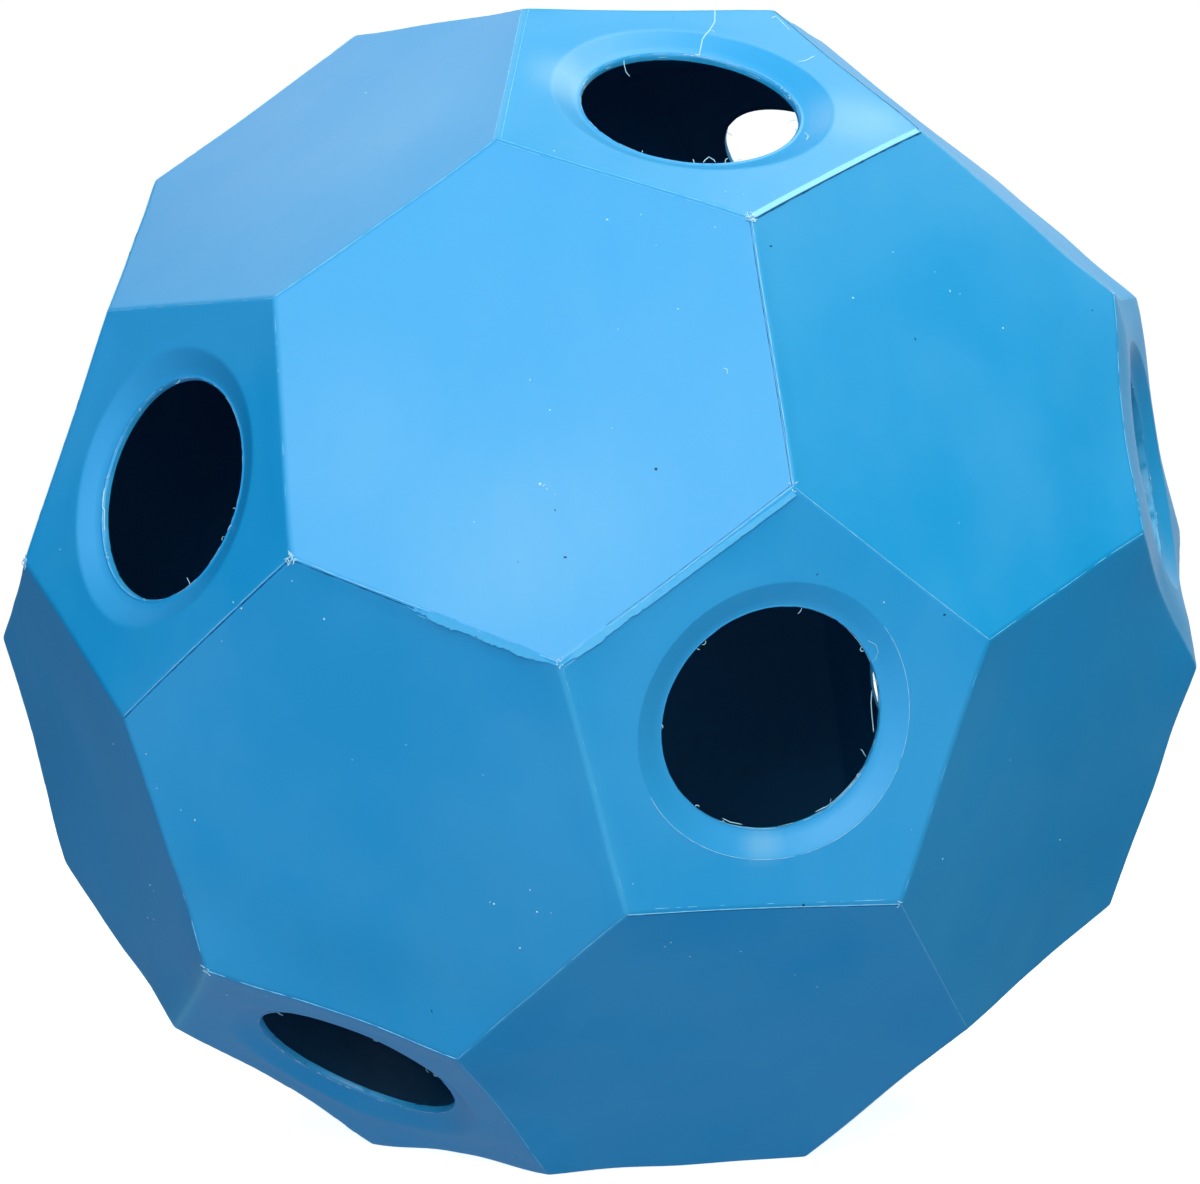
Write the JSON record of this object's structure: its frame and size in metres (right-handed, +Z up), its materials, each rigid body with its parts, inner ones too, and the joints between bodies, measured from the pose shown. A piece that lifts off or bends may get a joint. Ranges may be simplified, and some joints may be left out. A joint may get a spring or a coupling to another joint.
{
  "type": "hay ball feeder",
  "caption": "Hollow football-shaped ball of moulded half shells with a round dished mouth in every pentagon face; hay is stuffed in and pulled out as the ball rolls.",
  "frame": {"origin": "middle of the six-sided face that the ball stands on", "axes": "+Z up, square to the resting face; the line through the two half shells' poles lies in the XZ plane, with the upper pole on the -X side and the lower pole on the +X side"},
  "size_m": [0.3942, 0.3912, 0.366],
  "materials": {
    "upper_polyethylene": "satin blue moulded polyethylene",
    "lower_polyethylene": "satin blue moulded polyethylene"
  },
  "bodies": {
    "root": {"upper_half_shell": "upper_polyethylene", "lower_half_shell": "lower_polyethylene"}
  },
  "joints": []
}
